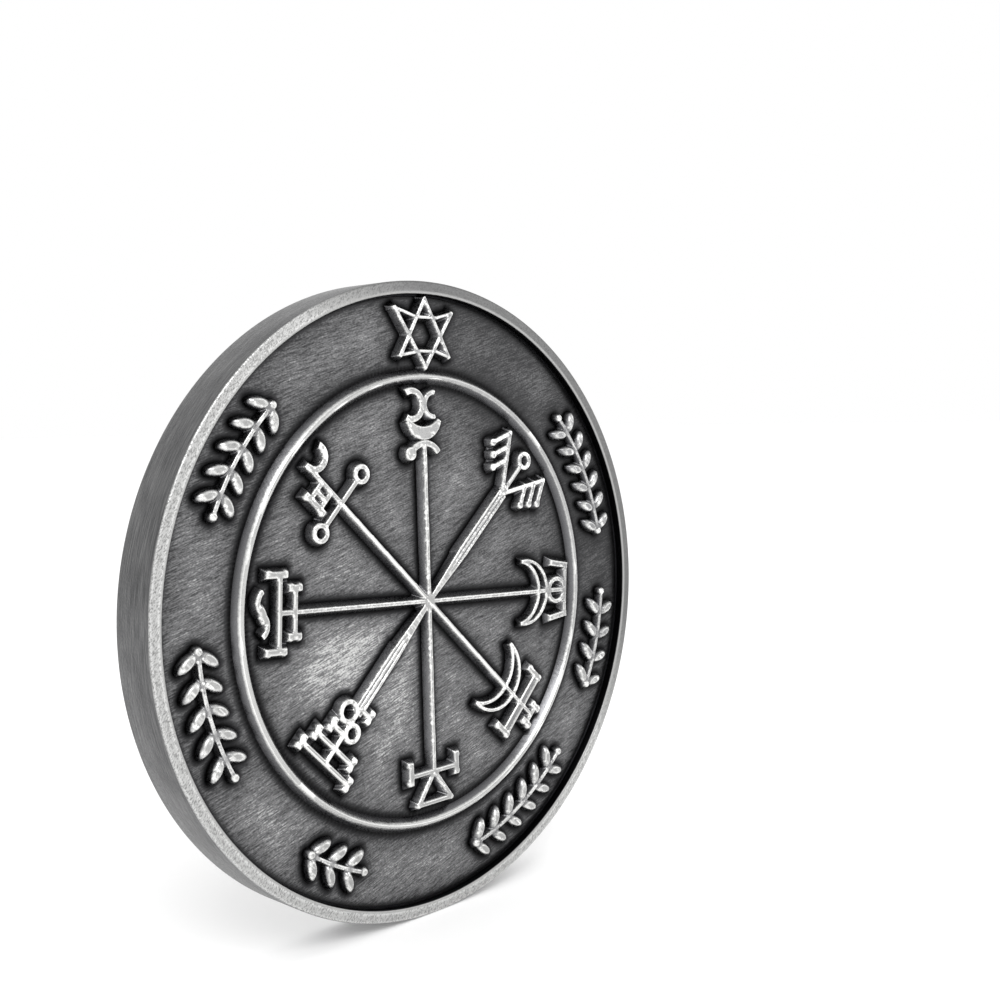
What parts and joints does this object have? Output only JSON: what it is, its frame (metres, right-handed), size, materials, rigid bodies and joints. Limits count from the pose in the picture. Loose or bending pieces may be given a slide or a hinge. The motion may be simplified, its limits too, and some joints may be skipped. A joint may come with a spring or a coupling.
{
  "type": "relief challenge coin",
  "caption": "Round struck metal coin with raised rims, a ring of sprigs round an eight-armed ray figure on one face and a large open sign inside a toothed rim on the other",
  "frame": {"origin": "centre of the coin, half way through its thickness and on its axis", "axes": "the coin's axis lies along Y, with the obverse facing -Y and the reverse facing +Y; +Z points to the star at the top of the obverse; +X is to the right seen from the obverse"},
  "size_m": [0.04, 0.0034, 0.04],
  "materials": {
    "struck_metal": "antique silver plate, darkened and brushed back, fine diagonal scratches",
    "polished_relief": "antique silver plate, relief tops polished bright, sides dark",
    "grained_relief": "antique silver plate, flat top with a fine struck grain"
  },
  "bodies": {
    "root": {"blank": "struck_metal", "ring": "polished_relief", "star": "polished_relief", "ray_n": "polished_relief", "ray_ne": "polished_relief", "ray_e": "polished_relief", "ray_se": "polished_relief", "ray_s": "polished_relief", "ray_sw": "polished_relief", "ray_w": "polished_relief", "ray_nw": "polished_relief", "cap_n": "polished_relief", "cup_n": "polished_relief", "moons_n": "polished_relief", "plumes_ne": "polished_relief", "moon_e": "polished_relief", "moon_se": "polished_relief", "triangle_s": "polished_relief", "bars_sw": "polished_relief", "bars_w": "polished_relief", "flame_w": "polished_relief", "ladder_nw": "polished_relief", "sprig_1": "polished_relief", "sprig_2": "polished_relief", "sprig_3": "polished_relief", "sprig_4": "polished_relief", "sprig_5": "polished_relief", "sprig_6": "polished_relief", "tooth_ring": "polished_relief", "thin_ring": "polished_relief", "sign": "grained_relief", "fleuron_1": "polished_relief", "fleuron_2": "polished_relief", "fleuron_3": "polished_relief", "fleuron_4": "polished_relief", "fleuron_5": "polished_relief", "fleuron_6": "polished_relief", "fleuron_7": "polished_relief"}
  },
  "joints": []
}
